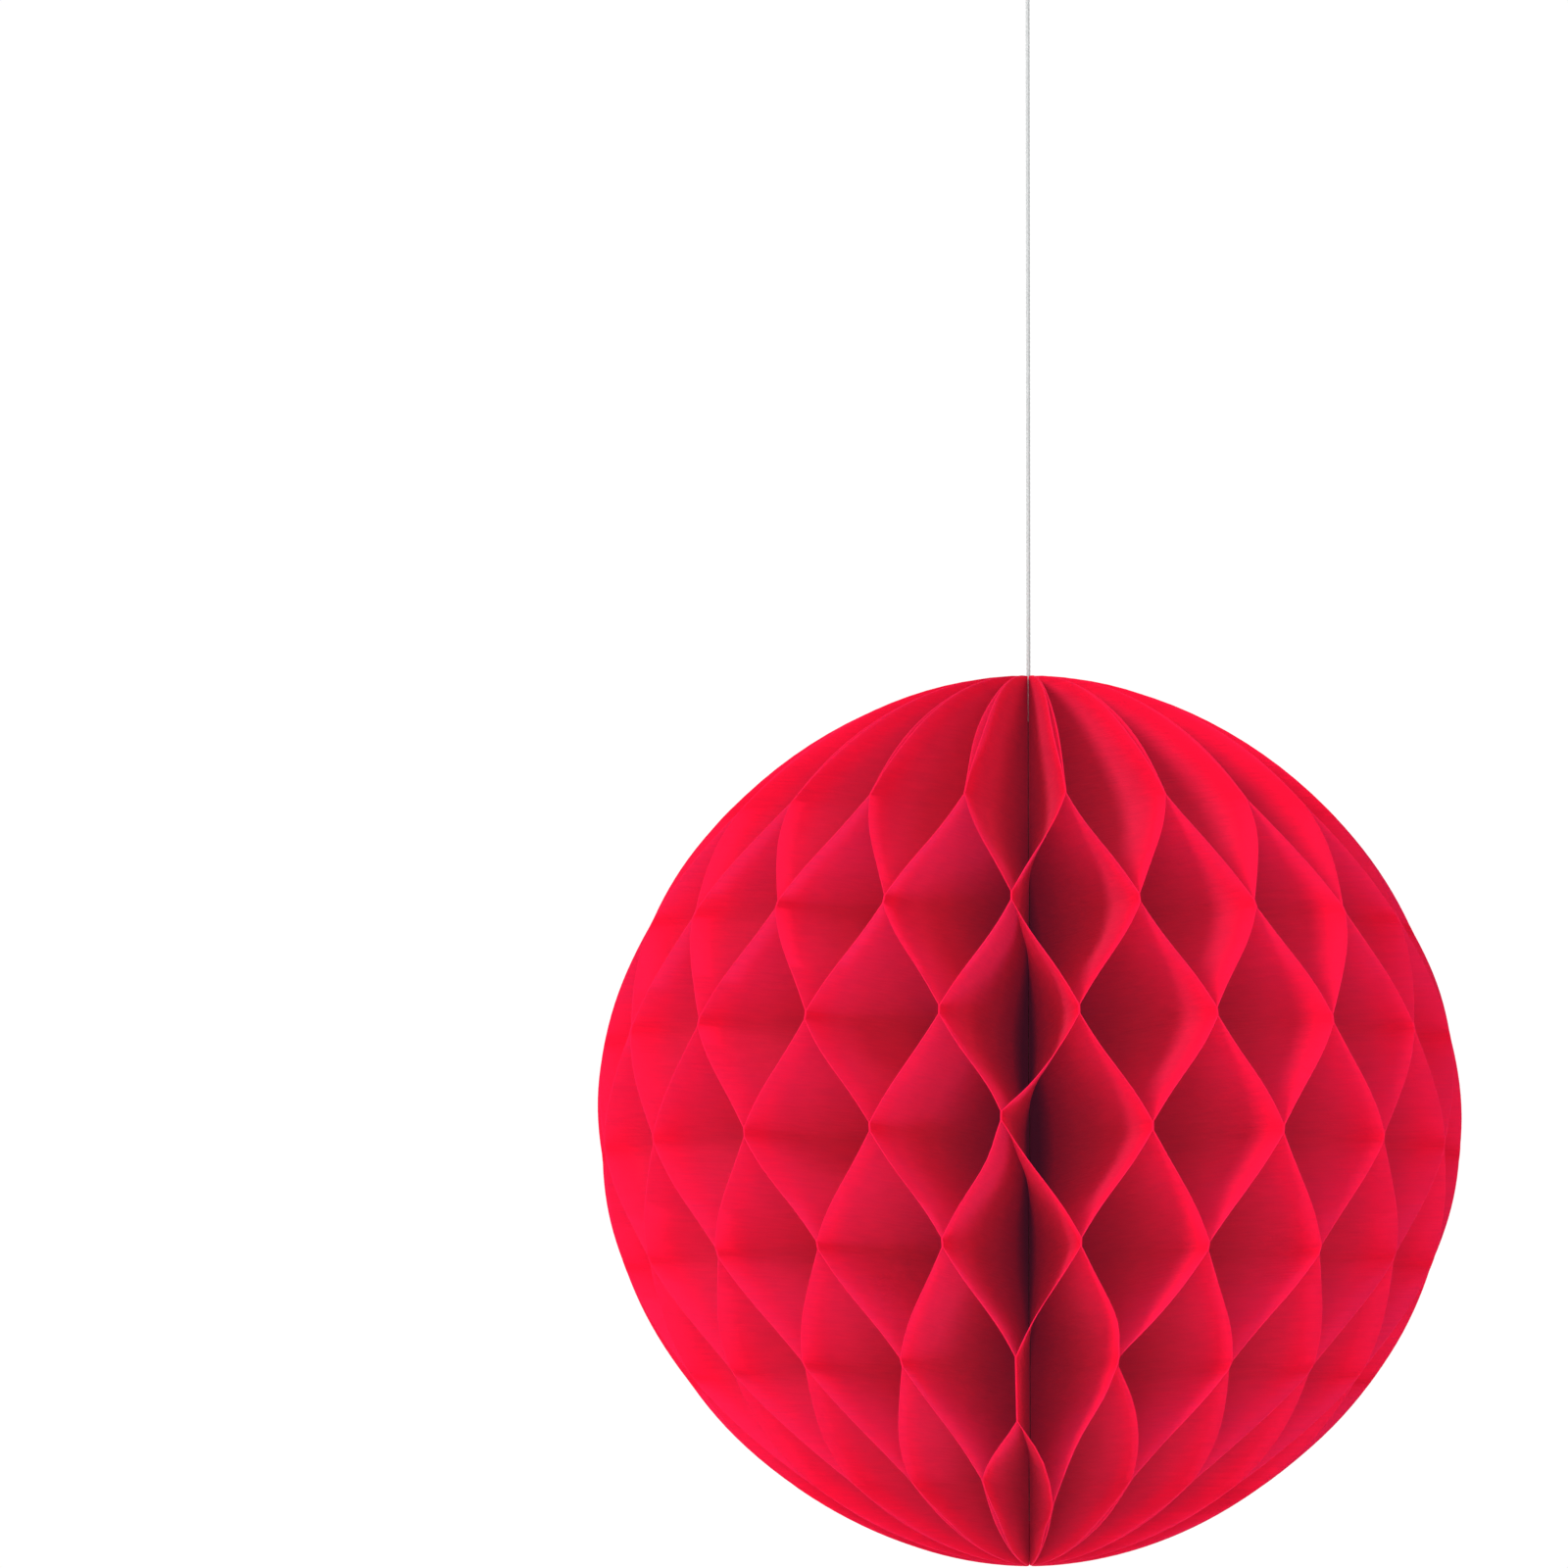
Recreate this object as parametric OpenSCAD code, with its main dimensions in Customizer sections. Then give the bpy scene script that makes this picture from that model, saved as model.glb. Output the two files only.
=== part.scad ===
// Paper honeycomb ball on a hanging thread.
//
// Frame: +Z is up and the origin is the point where a hook carries the hanging loop. The ball hangs
// below it, its spine on the Z axis. The two card end leaves meet on the +Y side and the front is -Y.
//
// The ball is a stack of half-round tissue leaves, bound along their straight edges. Each leaf is glued
// to the next along level radial lines, in rows whose lines alternate between odd and even glue planes,
// so the stack fans out through a full turn into rows of diamond cells.

/* [Ball] */
// Height of the open ball from pole to pole
ball_height = 200.6; // [180:0.2:260]
// Width of the open ball at its widest level
ball_width = 194.8; // [170:0.2:250]
// Power of the rim curve, where 2 is an ellipse and less is leaner near the poles
rim_power = 1.9; // [1.7:0.05:2.2]

/* [Leaves] */
// Thickness of one tissue leaf
leaf_t = 0.16; // [0.1:0.01:0.16]
// Height from one row of glue lines to the next
row_pitch = 25.5; // [22:0.5:26]
// Height of the middle row over the ball's centre
row_shift = -7.6; // [-9:0.2:9]
// Height of one glue line
glue_line_h = 2; // [1:0.5:4]
// How much a leaf's edge eases into each glue line, where 0 is a straight zigzag
edge_ease = 0.02; // [0:0.01:0.1]

/* [End cards] */
// Thickness of the card
card_t = 0.4; // [0.3:0.05:0.5]
// How far the card's rim stays inside the rim of the leaves
card_inset = 0.8; // [0.5:0.1:2]
// Width of each strip of double-sided tape between the cards
tape_w = 12; // [6:1:20]
// Length of each strip of tape
tape_len = 40; // [20:1:50]

/* [Thread] */
// Diameter of the thread
thread_d = 0.9; // [0.6:0.1:0.9]
// Height of the knot and its loop, from the thread's top end to the hook
loop_h = 25; // [20:1:40]
// Width that the loop spreads over the hook
loop_w = 12; // [8:1:20]

/* [Hidden] */
leaf_count = 38;
// Rows of glue lines are numbered from -last_row up to last_row
last_row = 3;
// Angle from one glue plane to the next
step = 360 / leaf_count;
half_h = ball_height / 2;
half_w = ball_width / 2;
// Room between two pieces that meet but aren't one solid
gap = 0.04;

// The thread's line, measured from the ball's top: from the tie on the spine up to the loop's knot.
thread_route = [[0, 0, -8], [0, 0, 0], [0, 0, 10], [0, 0, 20], [0, 0, 30], [0, 0, 40], [0, 0, 50],
                [0, 0, 60], [0, 0, 70], [0, 0, 80], [0, 0, 90], [0, 0, 100], [0, 0, 110],
                [0, 0, 120], [0, 0, 130], [0, 0, 140], [0, 0, 150], [0, 0, 160]];
thread_len = thread_route[len(thread_route) - 1][2];
top_z = -(loop_h + thread_len);
centre_z = top_z - half_h;

// How far the spine's binding stops short of each pole
spine_inset = 10.3;
spine_r = 1.5;
spine_h = ball_height - 2 * spine_inset;
// How far out from the spine a leaf's straight edge is
leaf_in_r = 1.6;
// How far out from the spine a leaf's two tips are
leaf_tip_r = 3.2;
// The first and last leaves start further out, where there is room for them beside the cards
end_leaf_in_r = 5.2;
end_leaf_tip_r = 6.2;

// The tape's thickness, how far out its strips start, and how far above or below the ball's centre
tape_t = 0.08;
tape_r = 40;
tape_rise = 15;
// Each card's face is this far from the seam plane, its straight edge and tips this far from the spine
card_off = tape_t / 2 + gap / 2;
card_in_r = 8;
card_tip_r = 9.8;
// Steps round each half of a card's rim
card_points = 40;
// The creased strip's thickness, and how far it stops short of the spine's ends
card_hinge_t = 0.16;
card_hinge_inset = 2;
card_hinge_h = spine_h - 2 * card_hinge_inset;

// Steps up a leaf's edge above its top row, below its bottom row and between two rows
cap_steps_top = 7;
cap_steps_bottom = 5;
gap_steps = 3;
// Points across a leaf from the spine to the rim
leaf_columns = 3;

// Turns of thread in the tie: how many, how far apart, and how far out
tie_turns = 3;
tie_pitch = 0.7;
tie_r = 0.95;
// Sides of the spine's round parts and of one turn of thread
round_sides = 32;
turn_sides = 16;

// The knot is drawn up into a round bead, and the thread and the loop swing about its middle.
knot_r = 1.4;
knot_sides = 48;
knot_z = gap + knot_r - loop_h;

// Sides of the thread, rings along each stretch of its line, and rings round the loop
thread_sides = 8;
steps_per_stretch = 4;
loop_rings = 41;
// How far the loop's two strands are from the middle where they enter the knot
strand_off = 0.55;
loop_top = thread_d / 2;
loop_low = knot_z + knot_r + gap;

tissue_colour = [0.86, 0.07, 0.2];
card_colour = [0.72, 0.055, 0.17];
hinge_colour = [0.8, 0.1, 0.2];
tape_colour = [0.95, 0.93, 0.88];
binding_colour = [0.6, 0.04, 0.14];
thread_colour = [0.84, 0.84, 0.84];

function two_digits(n) = str(n < 10 ? "0" : "", n);
function leaf_name(n) = str("leaf_", two_digits(n));

// ---- rim and rows

// The rim's radius at height z over the ball's centre.
function rim(z) = half_w * pow(1 - pow(abs(z) / half_h, rim_power), 1 / rim_power);

// The height on the rim at a turn of u degrees up from the widest level, and back.
function rim_z(u) = half_h * pow(sin(u), 2 / rim_power);
function rim_turn(z) = asin(pow(z / half_h, rim_power / 2));

// The turn at which the rim is r out from the spine.
function tip_turn(r) = acos(pow(r / half_w, rim_power / 2));

function row_z(k) = row_shift + k * row_pitch;

// Which glue plane an odd leaf meets in row k: 1 is the plane after it and -1 the plane before it.
function row_side(k) = abs(k) % 2 == 0 ? 1 : -1;
function eased(s) = s - edge_ease * sin(360 * s);

// [height, side] along an odd leaf's edge, from its bottom tip to its top tip. Past its last row a leaf
// stays pressed against its neighbour.
function cap(way, from_z, side, steps, tip_r) =
    let (u = rim_turn(from_z))
    [for (n = [1:steps]) [way * rim_z(u + (tip_turn(tip_r) - u) * n / steps), side]];
function reversed(list) = [for (n = [len(list) - 1:-1:0]) list[n]];
function row_levels(k) =
    let (z = row_z(k), side = row_side(k))
    [[z - glue_line_h / 2, side], [z + glue_line_h / 2, side]];
function between_rows(k) =
    let (low = row_z(k) + glue_line_h / 2, rise = row_pitch - glue_line_h, side = row_side(k))
    [for (n = [1:gap_steps - 1]) [low + rise * n / gap_steps, side * (1 - 2 * eased(n / gap_steps))]];
function edge_levels(tip_r) =
    let (last_side = row_side(last_row), half_line = glue_line_h / 2)
    concat(reversed(cap(-1, half_line - row_z(-last_row), last_side, cap_steps_bottom, tip_r)),
           [for (k = [-last_row:last_row])
               each concat(row_levels(k), k < last_row ? between_rows(k) : [])],
           cap(1, half_line + row_z(last_row), last_side, cap_steps_top, tip_r));

// ---- leaves

// A leaf's thickness is centred this far from the glue plane before it and the plane after it.
function off_before(n) = gap / 2 + leaf_t / 2 + (n == 1 ? card_off + card_t + gap / 2 : 0);
function off_after(n) = gap / 2 + leaf_t / 2 + (n == leaf_count ? card_off + card_t + gap / 2 : 0);
function is_end(n) = n == 1 || n == leaf_count;
function inner_r(n) = is_end(n) ? end_leaf_in_r : leaf_in_r;
function levels(n) = edge_levels(is_end(n) ? end_leaf_tip_r : leaf_tip_r);
function parity(n) = n % 2 == 1 ? 1 : -1;

// A point on leaf n, in the leaf's own frame: +Y is outwards and -X is towards the next leaf.
function leaf_point(n, r, level, face) =
    let (side = parity(n) * level[1],
         across = r * sin(side * step / 2) + off_before(n) * (1 - side) / 2
                  - off_after(n) * (1 + side) / 2 + face * leaf_t / 2)
    [-across, r * cos(side * step / 2), level[0]];

// Points run by level, then from the spine to the rim in columns, then by face.
function leaf_points(n) =
    let (rim_c = leaf_columns - 1)
    [for (level = levels(n)) for (c = [0:rim_c]) for (face = [-1, 1])
        leaf_point(n, inner_r(n) + (rim(level[0]) - inner_r(n)) * c / rim_c, level, face)];
function at(level, column, face) = (level * leaf_columns + column) * 2 + face;
function quad(a, b, c, d) = [[a, b, c], [a, c, d]];
function leaf_faces(level_count) =
    let (top = level_count - 1, rim_c = leaf_columns - 1)
    concat(
        [for (v = [0:top - 1]) for (c = [0:rim_c - 1])
            each concat(quad(at(v, c + 1, 1), at(v + 1, c + 1, 1), at(v + 1, c, 1), at(v, c, 1)),
                        quad(at(v + 1, c, 0), at(v + 1, c + 1, 0), at(v, c + 1, 0), at(v, c, 0)))],
        [for (v = [0:top - 1])
            each concat(quad(at(v, rim_c, 0), at(v + 1, rim_c, 0), at(v + 1, rim_c, 1), at(v, rim_c, 1)),
                        quad(at(v, 0, 1), at(v + 1, 0, 1), at(v + 1, 0, 0), at(v, 0, 0)))],
        [for (c = [0:rim_c - 1])
            each concat(quad(at(0, c, 0), at(0, c + 1, 0), at(0, c + 1, 1), at(0, c, 1)),
                        quad(at(top, c, 1), at(top, c + 1, 1), at(top, c + 1, 0), at(top, c, 0)))]);

module tissue_leaf(n) {
    color(tissue_colour)
        translate([0, 0, centre_z]) rotate([0, 0, (n - 0.5) * step])
            polyhedron(leaf_points(n), leaf_faces(len(levels(n))));
}

// ---- end cards, their hinges and the tape between them

// A card's half-round outline, from its straight inner edge to its rim.
module card_outline() {
    rim_line = [for (n = [-card_points:card_points])
                   let (u = tip_turn(card_tip_r) * n / card_points, z = sign(n) * rim_z(abs(u)))
                   [rim(z) - card_inset, z * (1 - card_inset / half_h)]];
    tip = rim_line[len(rim_line) - 1];
    polygon(concat([[card_in_r, -tip[1]]], rim_line, [[card_in_r, tip[1]]]));
}

// A card on the +X side of the seam.
module end_card() {
    translate([card_off, 0, centre_z])
        rotate([90, 0, 90]) linear_extrude(height = card_t) card_outline();
}

module end_card_free() {
    color(card_colour) end_card();
}

module end_card_fixed() {
    color(card_colour) mirror([1, 0, 0]) end_card();
}

// The creased strip that joins a card's straight edge to the spine, on the +X side of the seam.
module card_hinge() {
    translate([card_off, leaf_in_r, centre_z - card_hinge_h / 2])
        cube([card_hinge_t, card_in_r - gap - leaf_in_r, card_hinge_h]);
}

module card_hinge_free() {
    color(hinge_colour) card_hinge();
}

module card_hinge_fixed() {
    color(hinge_colour) mirror([1, 0, 0]) card_hinge();
}

module seam_tape(low_z) {
    color(tape_colour)
        translate([-tape_t / 2, tape_r, centre_z + low_z]) cube([tape_t, tape_w, tape_len]);
}

module seam_tape_upper() {
    seam_tape(tape_rise);
}

module seam_tape_lower() {
    seam_tape(-tape_rise - tape_len);
}

// ---- spine

module spine_binding() {
    color(binding_colour)
        translate([0, 0, centre_z - spine_h / 2])
            cylinder(h = spine_h, r = spine_r, $fn = round_sides);
}

// Turns of thread pulled tight round the top of the spine, one above another, under the thread's end.
module spine_tie() {
    rise = (tie_turns - 1) * tie_pitch;
    color(thread_colour)
        translate([0, 0, top_z + thread_route[0][2] - rise - thread_d]) {
            for (n = [0:tie_turns - 1])
                translate([0, 0, n * tie_pitch + thread_d / 2])
                    rotate_extrude($fn = round_sides)
                        translate([tie_r, 0]) circle(d = thread_d, $fn = turn_sides);
            cylinder(h = rise + thread_d, r = tie_r, $fn = round_sides);
        }
}

// ---- thread, knot and loop

function steps_along(route) =
    concat([for (n = [0:len(route) - 2]) for (s = [0:steps_per_stretch - 1])
               route[n] + (route[n + 1] - route[n]) * s / steps_per_stretch],
           [route[len(route) - 1]]);
function run_at(path, n) =
    let (ahead = path[min(n + 1, len(path) - 1)] - path[max(n - 1, 0)])
    ahead / norm(ahead);

// A round tube along a path that stays in the XZ plane.
module tube(path, d, sides) {
    points = [for (n = [0:len(path) - 1]) for (s = [0:sides - 1])
                 let (run = run_at(path, n), out = [run[2], 0, -run[0]], turn = 360 * s / sides)
                 path[n] + d / 2 * (cos(turn) * out + sin(turn) * [0, 1, 0])];
    faces = concat(
        [[for (s = [0:sides - 1]) s]],
        [for (n = [0:len(path) - 2]) for (s = [0:sides - 1])
            let (a = n * sides + s, b = n * sides + (s + 1) % sides)
            each quad(a, a + sides, b + sides, b)],
        [[for (s = [sides - 1:-1:0]) (len(path) - 1) * sides + s]]);
    polyhedron(points, faces);
}

module hanging_thread() {
    color(thread_colour)
        translate([0, 0, top_z]) tube(steps_along(thread_route), thread_d, thread_sides);
}

module loop_knot() {
    color(thread_colour)
        translate([0, 0, knot_z]) sphere(r = knot_r, $fn = knot_sides);
}

// The loop's line: both strands leave the knot side by side and spread over the hook.
function loop_point(turn) =
    [strand_off * turn / 180 + loop_w / 2 * sin(turn) * cos(turn / 2), 0,
     loop_top - (loop_top - loop_low) * (1 - cos(turn / 2))];

module hanging_loop() {
    color(thread_colour)
        tube([for (n = [0:loop_rings - 1]) loop_point(360 * n / (loop_rings - 1) - 180)], thread_d,
             thread_sides);
}

for (n = [1:leaf_count]) tissue_leaf(n);
end_card_fixed();
end_card_free();
card_hinge_fixed();
card_hinge_free();
seam_tape_upper();
seam_tape_lower();
spine_binding();
spine_tie();
hanging_thread();
loop_knot();
hanging_loop();
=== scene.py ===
"""Paper honeycomb ball on its thread: the visual model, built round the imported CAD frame.

Everything is in metres in the CAD frame: +Z up, the spine on the Z axis, the seam on the +Y side. Leaf n
lies between glue planes n - 1 and n, counted round from the seam, and the middle plane is the front one.
"""
import math

import bpy
import numpy as np
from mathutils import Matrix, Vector


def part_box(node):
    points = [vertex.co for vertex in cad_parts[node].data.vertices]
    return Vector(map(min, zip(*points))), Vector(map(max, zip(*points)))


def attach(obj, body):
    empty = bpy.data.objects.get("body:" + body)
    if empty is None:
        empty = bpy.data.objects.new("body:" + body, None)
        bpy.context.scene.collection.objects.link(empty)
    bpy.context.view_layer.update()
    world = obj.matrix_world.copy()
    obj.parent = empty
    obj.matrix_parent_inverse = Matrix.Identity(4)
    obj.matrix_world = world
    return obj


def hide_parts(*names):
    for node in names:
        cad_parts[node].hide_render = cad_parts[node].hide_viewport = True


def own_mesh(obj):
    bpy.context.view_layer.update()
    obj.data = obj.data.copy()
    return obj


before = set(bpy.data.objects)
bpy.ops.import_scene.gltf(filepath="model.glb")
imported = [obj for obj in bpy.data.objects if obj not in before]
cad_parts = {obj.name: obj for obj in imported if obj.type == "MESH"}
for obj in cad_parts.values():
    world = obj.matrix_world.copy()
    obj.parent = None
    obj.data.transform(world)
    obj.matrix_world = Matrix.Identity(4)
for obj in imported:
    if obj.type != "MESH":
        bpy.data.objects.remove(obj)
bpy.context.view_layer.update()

MM = 0.001

# ---------------------------------------------------------------- sizes taken from the frame

LEAVES = sum(name.startswith("leaf_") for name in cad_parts)
STEP = 2 * math.pi / LEAVES
SPINE_LOW, SPINE_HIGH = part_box("spine_binding")
CENTRE_Z = (SPINE_LOW.z + SPINE_HIGH.z) / 2
KNOT_LOW, KNOT_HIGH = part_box("loop_knot")
KNOT_Z = (KNOT_LOW.z + KNOT_HIGH.z) / 2
LOOP_LOW, LOOP_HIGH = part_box("hanging_loop")

# ---------------------------------------------------------------- driving sizes, as in the CAD source

HALF_HEIGHT = 100.3 * MM
HALF_WIDTH = 97.4 * MM
RIM_POWER = 1.9                 # the rim is a superellipse of this power
ROW_PITCH = 25.5 * MM
ROW_SHIFT = -7.6 * MM           # the middle row's height over the ball's centre
LAST_ROW = 3                    # the rows of glue lines run from -LAST_ROW to LAST_ROW
GLUE_LINE = 2.0 * MM            # a glue line's height
EDGE_EASE = 0.02                # how much the zigzag is rounded at the cut rim
DEEP_EASE = 0.1                 # the sheets lie in softer waves away from their cut rim
DEEP_FROM, DEEP_TO = 5 * MM, 30 * MM     # how far below the rim the waves soften
CARD_STACK = 0.48 * MM          # what the first and last leaves leave for their end card
GLUE_OFFSET = 0.1 * MM          # from a glue plane to the middle of the leaf glued there
SPINE_CLEAR = 1.6 * MM          # where the leaves start, from the spine's axis
TIP_RADIUS = 3.2 * MM           # the rim's radius where a leaf ends near the poles
END_LEAF_CLEAR = 5.2 * MM       # the same two for the first and last leaves, which start past the
END_TIP_RADIUS = 6.2 * MM       # hinge strips

THREAD_D = 0.9 * MM
TOP_Z = CENTRE_Z + HALF_HEIGHT
# The thread's line, measured from the ball's top: from the tie on the spine up to the loop's knot.
THREAD_ROUTE = [(0, 0, -0.008), (0, 0, 0), (0, 0, 0.01), (0, 0, 0.02), (0, 0, 0.03), (0, 0, 0.04),
                (0, 0, 0.05), (0, 0, 0.06), (0, 0, 0.07), (0, 0, 0.08), (0, 0, 0.09), (0, 0, 0.1),
                (0, 0, 0.11), (0, 0, 0.12), (0, 0, 0.13), (0, 0, 0.14), (0, 0, 0.15), (0, 0, 0.16)]

# ---------------------------------------------------------------- camera

BALL_IN_VIEW = (0.1560, -0.2147)    # the ball's centre in the picture, from its middle, in widths
VIEW_WIDTH = 0.3530                 # what the picture spans at the ball
CAMERA_DISTANCE = 3.9
CAMERA_AZIMUTH = math.radians(2.5)
CAMERA_ELEVATION = math.radians(-4.0)
CAMERA_CLIP = (0.05, 100)
SENSOR = 36.0


def make_camera():
    data = bpy.data.cameras.new("camera")
    data.sensor_width = SENSOR
    data.lens = SENSOR * CAMERA_DISTANCE / VIEW_WIDTH
    data.clip_start, data.clip_end = CAMERA_CLIP
    camera = bpy.data.objects.new("camera", data)
    bpy.context.scene.collection.objects.link(camera)
    flat = math.cos(CAMERA_ELEVATION)
    back = Vector((math.sin(CAMERA_AZIMUTH) * flat, -math.cos(CAMERA_AZIMUTH) * flat,
                   math.sin(CAMERA_ELEVATION)))
    ball = Vector((0, 0, CENTRE_Z))
    right = Vector((math.cos(CAMERA_AZIMUTH), math.sin(CAMERA_AZIMUTH), 0))
    up = back.cross(right)
    aim = ball - right * BALL_IN_VIEW[0] * VIEW_WIDTH - up * BALL_IN_VIEW[1] * VIEW_WIDTH
    camera.location = ball + back * CAMERA_DISTANCE
    camera.rotation_euler = (aim - camera.location).to_track_quat("-Z", "Y").to_euler()
    bpy.context.scene.camera = camera


# ---------------------------------------------------------------- node helpers

def new_material(name):
    """(material, its nodes, its links, its Principled shader, its output)."""
    material = bpy.data.materials.new(name)
    material.use_nodes = True
    nodes = material.node_tree.nodes
    return (material, nodes, material.node_tree.links, nodes["Principled BSDF"],
            nodes["Material Output"])


def math_node(nodes, links, kind, a, b=None):
    node = nodes.new("ShaderNodeMath")
    node.operation = kind
    for socket, value in zip(node.inputs, (a, b)):
        if isinstance(value, (int, float)):
            socket.default_value = value
        elif value is not None:
            links.new(value, socket)
    return node.outputs[0]


def ramp_node(nodes, links, value, stops):
    """A colour ramp over value, with stops of (place, colour)."""
    node = nodes.new("ShaderNodeValToRGB")
    elements = node.color_ramp.elements
    while len(elements) < len(stops):
        elements.new(0.5)
    for element, (place, colour) in zip(elements, stops):
        element.position = place
        element.color = (*colour, 1)
    links.new(value, node.inputs[0])
    return node.outputs[0]


def noise_node(nodes, links, vector, scale, detail=2.0, rough=0.5):
    node = nodes.new("ShaderNodeTexNoise")
    node.inputs["Scale"].default_value = scale
    node.inputs["Detail"].default_value = detail
    node.inputs["Roughness"].default_value = rough
    links.new(vector, node.inputs["Vector"])
    return node.outputs["Fac"]


def bump_node(nodes, links, height, distance, strength, onto=None):
    node = nodes.new("ShaderNodeBump")
    node.inputs["Distance"].default_value = distance
    node.inputs["Strength"].default_value = strength
    links.new(height, node.inputs["Height"])
    if onto is not None:
        links.new(onto, node.inputs["Normal"])
    return node.outputs["Normal"]


def multiply_colours(nodes, links, a, b):
    node = nodes.new("ShaderNodeMix")
    node.data_type = "RGBA"
    node.blend_type = "MULTIPLY"
    share, first, second = node.inputs[0], node.inputs[6], node.inputs[7]
    share.default_value = 1.0
    links.new(a, first)
    links.new(b, second)
    return node.outputs[2]


def sheet_coordinates(nodes, links, across, up, round_about):
    """(radius, height, angle) about the spine, each scaled, so that a pattern lies along a leaf."""
    place = nodes.new("ShaderNodeTexCoord").outputs["Object"]
    split = nodes.new("ShaderNodeSeparateXYZ")
    links.new(place, split.inputs[0])
    x, y, z = split.outputs
    squares = math_node(nodes, links, "ADD", math_node(nodes, links, "MULTIPLY", x, x),
                        math_node(nodes, links, "MULTIPLY", y, y))
    radius = math_node(nodes, links, "SQRT", squares)
    angle = math_node(nodes, links, "ARCTAN2", y, x)
    join = nodes.new("ShaderNodeCombineXYZ")
    for socket, value, scale in zip(join.inputs, (radius, z, angle), (across, up, round_about)):
        links.new(math_node(nodes, links, "MULTIPLY", value, scale), socket)
    return join.outputs[0]


def sheet_noise(nodes, links, scales, detail, rough=0.5):
    """Noise along a leaf. The scales are per metre outward, per metre up and per radian round."""
    return noise_node(nodes, links, sheet_coordinates(nodes, links, *scales), 1.0, detail, rough)


def grey(level):
    return (level, level, level)


def set_inputs(shader, **values):
    """Sets a shader's inputs, named with underscores for spaces."""
    for name, value in values.items():
        shader.inputs[name.replace("_", " ")].default_value = value


# ---------------------------------------------------------------- materials

# The dye with painted light, by depth below the rim, in shares of DEPTH_SPAN: (place, colour). It is
# painted brighter in a band along the cut rim, a pinker red deeper in stands in for white light reaching
# there, and painted shade darkens it near the spine.
DYE_AND_PAINTED_LIGHT_BY_DEPTH = [(0.0, (0.97, 0.0018, 0.044)), (0.055, (0.96, 0.002, 0.045)),
                   (0.11, (0.86, 0.012, 0.065)), (0.2, (0.87, 0.025, 0.09)),
                   (0.6, (0.95, 0.08, 0.16)), (0.8, (0.84, 0.08, 0.15)), (0.93, (0.1, 0.04, 0.045))]
DEPTH_SPAN = 95 * MM
TISSUE_PAINTED_GLOW = (0.033, 0.007, 0.0165)    # a faint painted glow emitted by the tissue, standing in for light scattered inside the ball
TISSUE_THROUGH = (0.99, 0.19, 0.46)     # the colour of light that comes through a sheet
THROUGH_SHARE = 0.46
CLOUDS, RIBS, FIBRES = (70, 70, 6), (120, 2200, 8), (900, 2400, 12)
CLOUDS_LEAST, RIBS_LEAST = 0.94, 0.86   # the darkest that clouds and ribs make the dye
RIB_BUMP, FIBRE_BUMP = (0.12 * MM, 0.5), (0.05 * MM, 0.4)     # (distance, strength)


def tissue_material():
    """Thin dyed tissue: light comes through it, with fine level ribs, fibres and clouding. Its colour
    holds painted light: brighter along the cut rim, painted shade near the spine, and a faint painted
    glow.
    """
    material, nodes, links, shader, output = new_material("tissue")
    clouds = sheet_noise(nodes, links, CLOUDS, 3)
    depth = nodes.new("ShaderNodeAttribute")
    depth.attribute_name = "depth"
    ribs = sheet_noise(nodes, links, RIBS, 2, 0.6)
    fibres = sheet_noise(nodes, links, FIBRES, 3, 0.7)
    # The base colour is the dye with painted light by depth: a painted brighter band at the rim and
    # painted shade near the spine.
    base = ramp_node(nodes, links, depth.outputs["Fac"], DYE_AND_PAINTED_LIGHT_BY_DEPTH)
    for pattern, least in ((clouds, CLOUDS_LEAST), (ribs, RIBS_LEAST)):
        shade = ramp_node(nodes, links, pattern, [(0.3, grey(least)), (0.7, grey(1))])
        base = multiply_colours(nodes, links, base, shade)
    links.new(base, shader.inputs["Base Color"])
    # The emission is a faint painted glow that lifts the shaded depths of the ball.
    set_inputs(shader, Roughness=0.85, Specular_IOR_Level=0.08, Emission_Color=(*TISSUE_PAINTED_GLOW, 1),
               Emission_Strength=1.0)
    normal = bump_node(nodes, links, ribs, *RIB_BUMP)
    normal = bump_node(nodes, links, fibres, *FIBRE_BUMP, normal)
    links.new(normal, shader.inputs["Normal"])
    through = nodes.new("ShaderNodeBsdfTranslucent")
    through.inputs["Color"].default_value = (*TISSUE_THROUGH, 1)
    links.new(normal, through.inputs["Normal"])
    mix = nodes.new("ShaderNodeMixShader")
    mix.inputs[0].default_value = THROUGH_SHARE
    links.new(shader.outputs[0], mix.inputs[1])
    links.new(through.outputs[0], mix.inputs[2])
    links.new(mix.outputs[0], output.inputs["Surface"])
    return material


def card_material():
    """Dyed card: pressed fibres, faint mottling and a soft surface."""
    material, nodes, links, shader, _ = new_material("card")
    mottle = sheet_noise(nodes, links, (60, 60, 2), 4)
    fibres = sheet_noise(nodes, links, (700, 1500, 4), 4, 0.7)
    base = ramp_node(nodes, links, mottle, [(0.3, (0.46, 0.008, 0.03)), (0.7, (0.58, 0.012, 0.04))])
    fleck = ramp_node(nodes, links, fibres, [(0.35, grey(0.86)), (0.6, grey(1))])
    links.new(multiply_colours(nodes, links, base, fleck), shader.inputs["Base Color"])
    set_inputs(shader, Roughness=0.8, Specular_IOR_Level=0.1)
    links.new(bump_node(nodes, links, fibres, 0.08 * MM, 0.5), shader.inputs["Normal"])
    return material


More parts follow.
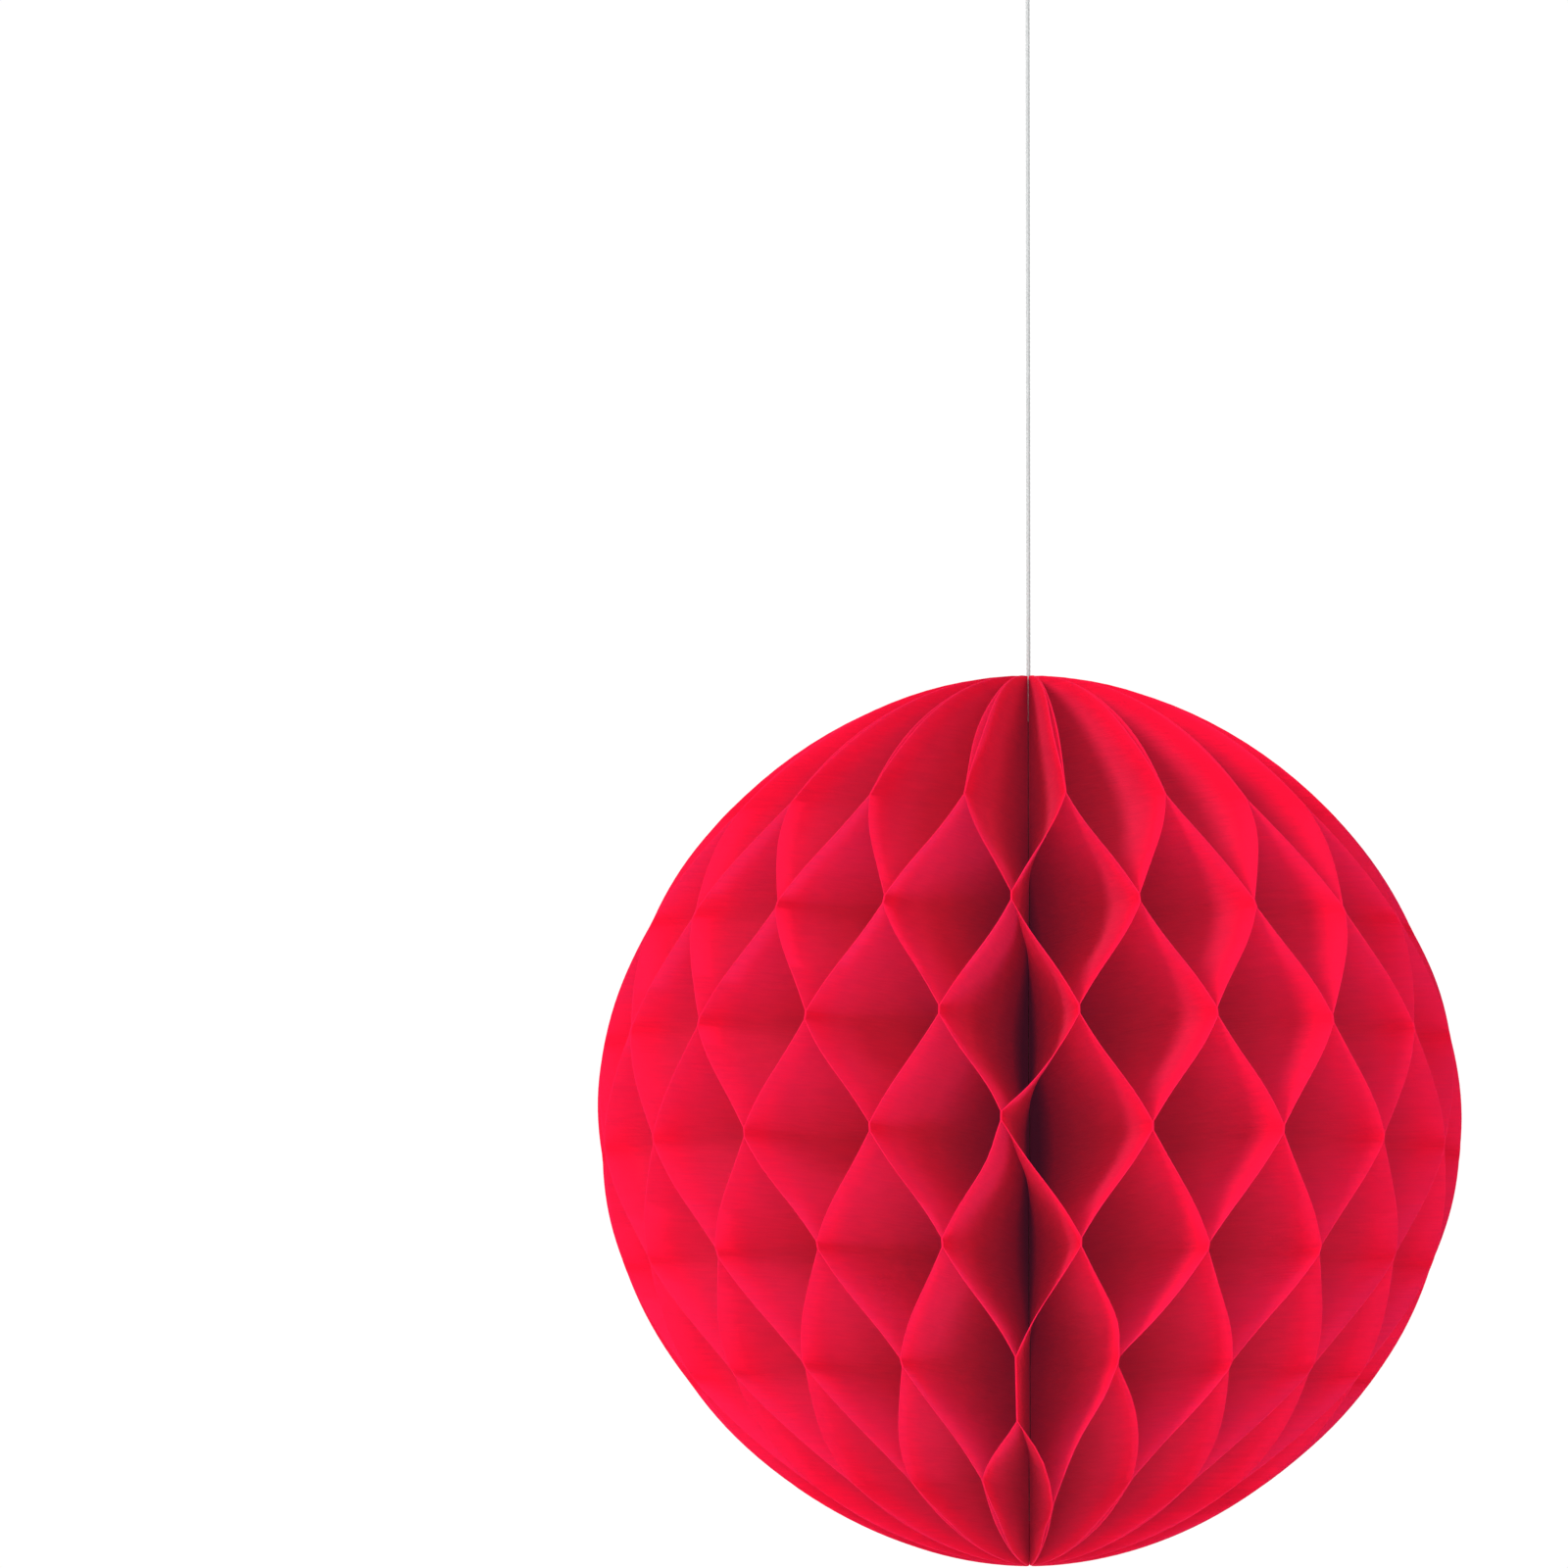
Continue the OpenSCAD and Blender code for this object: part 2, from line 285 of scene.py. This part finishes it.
def tape_material():
    """Double-sided tape: milky film with small trapped bubbles."""
    material, nodes, links, shader, _ = new_material("tape")
    bubbles = sheet_noise(nodes, links, (900, 900, 3), 2)
    base = ramp_node(nodes, links, bubbles, [(0.35, (0.74, 0.7, 0.6)), (0.65, (0.86, 0.84, 0.76))])
    links.new(base, shader.inputs["Base Color"])
    gloss = nodes.new("ShaderNodeMapRange")
    set_inputs(gloss, To_Min=0.25, To_Max=0.45)
    links.new(bubbles, gloss.inputs["Value"])
    links.new(gloss.outputs[0], shader.inputs["Roughness"])
    links.new(bump_node(nodes, links, bubbles, 0.05 * MM, 0.4), shader.inputs["Normal"])
    return material


def binding_material():
    """Glue-soaked tissue edges: dark, with a level grain, one line to a leaf's edge."""
    material, nodes, links, shader, _ = new_material("binding")
    grain = sheet_noise(nodes, links, (300, 400, 19), 3, 0.6)
    base = ramp_node(nodes, links, grain, [(0.3, (0.08, 0.015, 0.02)), (0.7, (0.16, 0.025, 0.03))])
    links.new(base, shader.inputs["Base Color"])
    set_inputs(shader, Roughness=0.6)
    links.new(bump_node(nodes, links, grain, 0.2 * MM, 0.6), shader.inputs["Normal"])
    return material


def thread_material():
    """Pale cotton thread, its fibres running round with the twist."""
    material, nodes, links, shader, _ = new_material("thread")
    fuzz = sheet_noise(nodes, links, (4000, 2500, 1.5), 3, 0.7)
    base = ramp_node(nodes, links, fuzz, [(0.3, (0.33, 0.34, 0.34)), (0.7, (0.47, 0.48, 0.48))])
    links.new(base, shader.inputs["Base Color"])
    set_inputs(shader, Roughness=0.9, Specular_IOR_Level=0.1, Sheen_Weight=0.15)
    links.new(bump_node(nodes, links, fuzz, 0.06 * MM, 0.6), shader.inputs["Normal"])
    return material


def floor_material():
    """Matt white studio board with a faint speckle."""
    material, nodes, links, shader, _ = new_material("floor")
    place = nodes.new("ShaderNodeTexCoord").outputs["Object"]
    speckle = noise_node(nodes, links, place, 3.0)
    base = ramp_node(nodes, links, speckle, [(0.3, grey(0.92)), (0.7, grey(0.94))])
    links.new(base, shader.inputs["Base Color"])
    set_inputs(shader, Roughness=0.95, Specular_IOR_Level=0.0)
    return material


# ---------------------------------------------------------------- mesh helpers

def mesh_object(name, vertices, faces, material, sharp_over=None):
    """A smooth mesh, with sharp edges where its faces turn by more than sharp_over degrees."""
    mesh = bpy.data.meshes.new(name)
    mesh.from_pydata([tuple(map(float, v)) for v in vertices], [], faces)
    mesh.validate()
    mesh.polygons.foreach_set("use_smooth", [True] * len(mesh.polygons))
    if sharp_over is not None:
        mesh.set_sharp_from_angle(angle=math.radians(sharp_over))
    mesh.materials.append(material)
    obj = bpy.data.objects.new(name, mesh)
    bpy.context.scene.collection.objects.link(obj)
    return obj


def repaint(node, material):
    """Gives a CAD node that stays its finished material."""
    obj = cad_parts[node]
    obj.data.materials.clear()
    obj.data.materials.append(material)
    for slot in obj.material_slots:
        slot.material = material


# ---------------------------------------------------------------- thread, knot and loop

THREAD_SIDES = 15
THREAD_SHARP = 50
STRANDS = 3
STRAND_DEPTH = 0.16             # how deep the grooves between strands are, in thread radii
TWIST_PITCH = 3.2 * MM
THREAD_PITCH = 0.4 * MM         # between sections of the straight thread
PATH_STEPS = 120                # sections of the knot and of the loop
LOOP_HALF_W = 6 * MM
LOOP_FEET = 0.55 * MM           # from the loop's middle to each of its strands where they meet the knot
KNOT_TURNS = 3
KNOT_TUCK = 0.85                # how near the knot's poles its thread starts and ends


def twisted_tube(name, path, material):
    """A three-strand thread along path: its section is three lobes that turn as it goes."""
    path = [Vector(p) for p in path]
    vertices, faces, run = [], [], 0.0
    for n, point in enumerate(path):
        ahead = (path[min(n + 1, len(path) - 1)] - path[max(n - 1, 0)]).normalized()
        if n == 0:
            side = ahead.orthogonal().normalized()
        else:
            run += (point - path[n - 1]).length
            side = (side - ahead * side.dot(ahead)).normalized()
        other = ahead.cross(side)
        for s in range(THREAD_SIDES):
            turn = 2 * math.pi * s / THREAD_SIDES
            lobe = abs(math.cos(STRANDS / 2 * (turn - 2 * math.pi * run / TWIST_PITCH)))
            radius = THREAD_D / 2 * (1 - STRAND_DEPTH * (1 - lobe))
            vertices.append(point + (side * math.cos(turn) + other * math.sin(turn)) * radius)
    for n in range(len(path) - 1):
        for s in range(THREAD_SIDES):
            a, b = n * THREAD_SIDES + s, n * THREAD_SIDES + (s + 1) % THREAD_SIDES
            faces.append((a, b, b + THREAD_SIDES, a + THREAD_SIDES))
    faces.append(tuple(reversed(range(THREAD_SIDES))))
    faces.append(tuple(range((len(path) - 1) * THREAD_SIDES, len(path) * THREAD_SIDES)))
    return mesh_object(name, vertices, faces, material, THREAD_SHARP)


def straight(points, pitch):
    """Points at an even pitch along straight stretches between points."""
    made = [Vector(points[0])]
    for a, b in zip(points, points[1:]):
        a, b = Vector(a), Vector(b)
        count = max(1, round((b - a).length / pitch))
        made += [a.lerp(b, n / count) for n in range(1, count + 1)]
    return made


def loop_path():
    """Both strands leave the knot side by side and spread over the hook."""
    top = LOOP_HIGH.z - THREAD_D / 2
    points = []
    for n in range(PATH_STEPS + 1):
        turn = 2 * math.pi * n / PATH_STEPS - math.pi
        x = LOOP_FEET * turn / math.pi + LOOP_HALF_W * math.sin(turn) * math.cos(turn / 2)
        points.append((x, 0, top - (top - LOOP_LOW.z) * (1 - math.cos(turn / 2))))
    return points


def knot_path():
    """The turns of a small knot, drawn up into a bead as wide as the CAD's, so that it swings clear."""
    radius = (KNOT_HIGH.z - KNOT_LOW.z - THREAD_D) / 2
    points = []
    for n in range(PATH_STEPS + 1):
        turn = 2 * math.pi * KNOT_TURNS * n / PATH_STEPS
        fall = KNOT_TUCK * math.cos(math.pi * n / PATH_STEPS)
        flat = math.sqrt(1 - fall * fall)
        points.append((radius * flat * math.cos(turn), radius * flat * math.sin(turn),
                       KNOT_Z + radius * fall))
    return points


def make_thread(material):
    path = straight([(x, y, TOP_Z + z) for x, y, z in THREAD_ROUTE], THREAD_PITCH)
    thread = twisted_tube("thread", path, material)
    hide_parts("hanging_thread")
    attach(thread, "thread")
    knot = twisted_tube("thread_knot", knot_path(), material)
    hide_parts("loop_knot")
    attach(knot, "knot")
    loop = twisted_tube("thread_loop", loop_path(), material)
    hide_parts("hanging_loop")
    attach(loop, "hanger")


# ---------------------------------------------------------------- leaves

LEAF_T = 0.17 * MM
LEAF_SHARP = 80
COLUMNS = 13                    # points across a leaf
COLUMN_SPREAD = 0.85            # under 1, they lie closer together towards the rim
GAP_STEPS = 10                  # levels between two rows, along a glue line and beyond the last row
LINE_STEPS = 3
CAP_STEPS = 16
CAP_BULGE = (0.02, 0.2)         # how far leaves stand off each other beyond the last row
CAP_SEED = 400

# Seeded unevenness: its size, the first seed, and its waves as (how many, lowest and highest rate), the
# rates in radians per metre.
GLUE_WANDER, TURN_SEED, TURN_WAVES = math.radians(0.35), 100, (3, 25, 90)
GLUE_RISE, RISE_SEED, RISE_WAVES = 0.5 * MM, 200, (3, 25, 60)
CUT_WANDER, CUT_SEED, CUT_WAVES = 0.0022, 300, (3, 20, 120)
FLUTTER, FLUTTER_SEEDS, FLUTTER_WAVES = 0.07, (500, 700), ((4, 60, 210), (3, 20, 90))

FRONT = LEAVES // 2             # the leaf before the front glue plane
# Glue lines that handling has pushed aside, each by its plane's place from the front one, its row, how
# far it turns and how far it rises.
PUSHED_LINES = [(0, 0, math.radians(-1.0), 2.0 * MM), (1, -3, 0.0, -5.5 * MM),
                (2, -2, math.radians(-1.8), 0.0)]
PUSH_REACH = 7 * MM             # how far up and down a pushed line drags its plane
PINCHED_ROW, PINCH = -2, 12 * MM    # the front leaves are pinched together this far under this row


def rim_radius(z):
    """The rim's radius at heights z over the ball's centre."""
    inside = np.clip(1 - (np.abs(z) / HALF_HEIGHT) ** RIM_POWER, 0, 1)
    return HALF_WIDTH * inside ** (1 / RIM_POWER)


def row_height(k):
    return ROW_SHIFT + k * ROW_PITCH


def row_side(k):
    """Which glue plane an odd leaf is glued to in row k: 1 is the plane after it, -1 the one before."""
    return 1.0 if k % 2 == 0 else -1.0


def cap_levels(way, start, side, tip_radius):
    """[(height, side, sway)] from the last row's glue line to the leaf's tip."""
    turn = math.asin((start / HALF_HEIGHT) ** (RIM_POWER / 2))
    tip_turn = math.acos((tip_radius / HALF_WIDTH) ** (RIM_POWER / 2))
    made = []
    for n in range(1, CAP_STEPS + 1):
        u = turn + (tip_turn - turn) * n / CAP_STEPS
        made.append((way * HALF_HEIGHT * math.sin(u) ** (2 / RIM_POWER), side, 0.0))
    return made


def leaf_levels(tip_radius):
    """[(height, side, sway)] up an odd leaf's edge: side is 1 at the glue plane after it and -1 before.
    Sway says how the side moves where the sheet's wave is softer."""
    bottom, top = GLUE_LINE / 2 - row_height(-LAST_ROW), GLUE_LINE / 2 + row_height(LAST_ROW)
    side = row_side(LAST_ROW)
    made = cap_levels(-1, bottom, side, tip_radius)[::-1]
    for k in range(-LAST_ROW, LAST_ROW + 1):
        low = row_height(k) - GLUE_LINE / 2
        made += [(low + GLUE_LINE * n / LINE_STEPS, row_side(k), 0.0) for n in range(LINE_STEPS + 1)]
        if k < LAST_ROW:
            start, rise = low + GLUE_LINE, ROW_PITCH - GLUE_LINE
            for n in range(1, GAP_STEPS):
                s = n / GAP_STEPS
                made.append((start + rise * s, row_side(k) * (1 - 2 * s),
                             row_side(k) * 2 * math.sin(2 * math.pi * s)))
    return made + cap_levels(1, top, side, tip_radius)


class Wander:
    """A smooth random line: a few sine waves with seeded rates and phases."""

    def __init__(self, seed, waves, low, high):
        rng = np.random.default_rng(seed)
        self.rates = rng.uniform(low, high, waves)
        self.phases = rng.uniform(0, 2 * math.pi, waves)

    def __call__(self, x):
        return sum(np.sin(x * rate + phase)
                   for rate, phase in zip(self.rates, self.phases)) / len(self.rates)


def glue_strays(n, z):
    """How far the glue plane after leaf n turns and rises from its even place. The seam stays put."""
    if n % LEAVES == 0:
        return 0 * z, 0 * z
    calm = 1 - (z / HALF_HEIGHT) ** 4
    turn = GLUE_WANDER * Wander(TURN_SEED + n, *TURN_WAVES)(z)
    rise = GLUE_RISE * calm * Wander(RISE_SEED + n, *RISE_WAVES)(z)
    for plane, row, pushed_turn, pushed_rise in PUSHED_LINES:
        if n == FRONT + plane:
            near = np.exp(-((z - row_height(row)) / PUSH_REACH) ** 2)
            turn, rise = turn + pushed_turn * near, rise + pushed_rise * near
    return turn, rise


def pinch_front(n, up, side, sway):
    """Keeps the two front leaves together for a way under one of their glue lines."""
    if n not in (FRONT, FRONT + 1):
        return side, sway
    low = row_height(PINCHED_ROW - 1) + GLUE_LINE / 2
    high = row_height(PINCHED_ROW) - GLUE_LINE / 2
    share = np.clip((up - low) / (high - low - PINCH), 0, 1)
    between = (up > low) & (up < high)
    return (np.where(between, 2 * share - 1, side),
            np.where(between, -2 * np.sin(2 * math.pi * share), sway))


def open_caps(n, up, side):
    """Lets a leaf stand a little off its neighbour between its last row and its tips."""
    bulges = np.random.default_rng(CAP_SEED + n).uniform(*CAP_BULGE, 2)
    for bulge, way in zip(bulges, (-1, 1)):
        start = GLUE_LINE / 2 + way * row_height(way * LAST_ROW)
        share = np.clip((way * up - start) / (HALF_HEIGHT - start), 0, 1)
        side = side * (1 - bulge * np.sin(math.pi * share) ** 2)
    return side


def flutter(n, side, up, r):
    """How far leaf n's free parts, away from its glue lines, wave across."""
    along, outward = (Wander(seed + n, *waves) for seed, waves in zip(FLUTTER_SEEDS, FLUTTER_WAVES))
    free = 1 - side ** 2
    waves = along(up)[:, None] * outward(r)
    return FLUTTER * free[:, None] * waves * r * math.sin(STEP / 2)


def leaf_surface(n):
    """Leaf n's middle surface by level and column: across, out and up in its own frame, and depth."""
    ends_stack = n in (1, LEAVES)
    inner = END_LEAF_CLEAR if ends_stack else SPINE_CLEAR
    up, side, sway = np.array(leaf_levels(END_TIP_RADIUS if ends_stack else TIP_RADIUS)).T
    facing = 1 if n % 2 else -1
    side, sway = pinch_front(n, up, side, sway)
    side, sway = open_caps(n, up, side) * facing, sway * facing
    side = side + EDGE_EASE * sway
    turns, rises = zip(glue_strays(n - 1, up), glue_strays(n, up))
    up = up + rises[0] * (1 - side) / 2 + rises[1] * (1 + side) / 2
    rim = rim_radius(up) * (1 + CUT_WANDER * Wander(CUT_SEED + n, *CUT_WAVES)(up))
    r = inner + np.outer(rim - inner, np.linspace(0, 1, COLUMNS) ** COLUMN_SPREAD)
    soften = np.clip((rim[:, None] - r - DEEP_FROM) / (DEEP_TO - DEEP_FROM), 0, 1)
    wave = side[:, None] + (DEEP_EASE - EDGE_EASE) * soften * sway[:, None]
    turns = [turn[:, None] for turn in turns]
    angle = wave * STEP / 2 + turns[0] * (1 - wave) / 2 + turns[1] * (1 + wave) / 2
    off_before = GLUE_OFFSET + (CARD_STACK if n == 1 else 0)
    off_after = GLUE_OFFSET + (CARD_STACK if n == LEAVES else 0)
    offset = off_before * (1 - side) / 2 - off_after * (1 + side) / 2
    across = r * np.sin(angle) + offset[:, None] + flutter(n, side, up, r)
    out = r * np.cos(angle)
    return across, out, np.repeat(up[:, None], COLUMNS, axis=1), (rim[:, None] - r) / DEPTH_SPAN


def grid_faces(levels, columns):
    """Quads of a thin closed sheet whose points run by level, column and face."""
    def at(v, c, f):
        return (v * columns + c) * 2 + f
    faces = []
    for v in range(levels - 1):
        for c in range(columns - 1):
            faces.append((at(v, c, 1), at(v, c + 1, 1), at(v + 1, c + 1, 1), at(v + 1, c, 1)))
            faces.append((at(v, c, 0), at(v + 1, c, 0), at(v + 1, c + 1, 0), at(v, c + 1, 0)))
        last = columns - 1
        faces.append((at(v, last, 1), at(v, last, 0), at(v + 1, last, 0), at(v + 1, last, 1)))
        faces.append((at(v, 0, 0), at(v, 0, 1), at(v + 1, 0, 1), at(v + 1, 0, 0)))
    for c in range(columns - 1):
        faces.append((at(0, c, 0), at(0, c + 1, 0), at(0, c + 1, 1), at(0, c, 1)))
        top = levels - 1
        faces.append((at(top, c, 1), at(top, c + 1, 1), at(top, c + 1, 0), at(top, c, 0)))
    return faces


def make_leaf(n, material, faces):
    across, out, up, depth = leaf_surface(n)
    turn = (n - 0.5) * STEP
    outward = np.array([-math.sin(turn), math.cos(turn), 0])
    onward = np.array([-math.cos(turn), -math.sin(turn), 0])
    middle = (out[..., None] * outward + across[..., None] * onward
              + (up + CENTRE_Z)[..., None] * np.array([0, 0, 1]))
    half = onward * LEAF_T / 2
    vertices = np.stack([middle - half, middle + half], axis=2).reshape(-1, 3)
    leaf = mesh_object(f"tissue_{n:02d}", vertices, faces, material, LEAF_SHARP)
    stored = leaf.data.attributes.new("depth", "FLOAT", "POINT")
    stored.data.foreach_set("value", np.repeat(depth.reshape(-1), 2).astype(np.float32))
    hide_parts(f"leaf_{n:02d}")
    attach(leaf, f"leaf_{n:02d}_body")
    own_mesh(leaf)


def make_leaves(material):
    faces = grid_faces(len(leaf_levels(TIP_RADIUS)), COLUMNS)
    for n in range(1, LEAVES + 1):
        make_leaf(n, material, faces)


# ---------------------------------------------------------------- CAD solids that stay

def finish_cad_pieces(thread_look):
    """The cards, hinge strips, tape, binding and tie show as the CAD has them."""
    card_look = card_material()
    for card in ("end_card_fixed", "end_card_free", "card_hinge_fixed", "card_hinge_free"):
        repaint(card, card_look)
    tape_look = tape_material()
    for strip in ("seam_tape_upper", "seam_tape_lower"):
        repaint(strip, tape_look)
    repaint("spine_binding", binding_material())
    repaint("spine_tie", thread_look)


# ---------------------------------------------------------------- stage and light

FLOOR_Z = -0.85
FLOOR_HALF = 40
# The world is white, and its strength rises from WORLD_DIM to WORLD_FULL as a direction's lean, its x
# and y times WORLD_LEAN, goes over LEAN_SPAN.
WORLD_DIM, WORLD_FULL = 0.45, 1.02
WORLD_LEAN = (-0.3, 0.95)
LEAN_SPAN = (-0.8, 1.0)
# Each light's name, place, width and watts.
LIGHTS = [("key", (-1.45, -2.0, 0.85), 0.8, 58), ("second_key", (1.4, -2.2, 0.6), 0.9, 10),
          ("fill", (0.1, -2.7, -0.2), 1.6, 17)]


def make_stage():
    corners = [(-FLOOR_HALF, -FLOOR_HALF), (FLOOR_HALF, -FLOOR_HALF), (FLOOR_HALF, FLOOR_HALF),
               (-FLOOR_HALF, FLOOR_HALF)]
    floor = mesh_object("floor", [(*corner, FLOOR_Z) for corner in corners], [(0, 1, 2, 3)],
                        floor_material())


def area_light(name, place, size, power):
    data = bpy.data.lights.new(name, "AREA")
    data.shape = "DISK"
    data.size = size
    data.energy = power
    light = bpy.data.objects.new(name, data)
    light.location = place
    aim = Vector((0, 0, CENTRE_Z)) - Vector(place)
    light.rotation_euler = aim.to_track_quat("-Z", "Y").to_euler()
    bpy.context.scene.collection.objects.link(light)


def make_world():
    """A white studio, dimmer towards the front right."""
    world = bpy.data.worlds.new("studio")
    world.use_nodes = True
    nodes, links = world.node_tree.nodes, world.node_tree.links
    split = nodes.new("ShaderNodeSeparateXYZ")
    links.new(nodes.new("ShaderNodeTexCoord").outputs["Generated"], split.inputs[0])
    across, along = (math_node(nodes, links, "MULTIPLY", split.outputs[axis], share)
                     for axis, share in zip("XY", WORLD_LEAN))
    level = nodes.new("ShaderNodeMapRange")
    level.interpolation_type = "SMOOTHSTEP"
    set_inputs(level, From_Min=LEAN_SPAN[0], From_Max=LEAN_SPAN[1], To_Min=WORLD_DIM, To_Max=WORLD_FULL)
    links.new(math_node(nodes, links, "ADD", across, along), level.inputs["Value"])
    shade = nodes["Background"]
    shade.inputs["Color"].default_value = (*grey(1), 1)
    links.new(level.outputs[0], shade.inputs["Strength"])
    bpy.context.scene.world = world


# ---------------------------------------------------------------- the whole model

bpy.context.scene.view_settings.view_transform = "Standard"
make_camera()
thread_look = thread_material()
make_thread(thread_look)
make_leaves(tissue_material())
finish_cad_pieces(thread_look)
make_stage()
make_world()
for light in LIGHTS:
    area_light(*light)
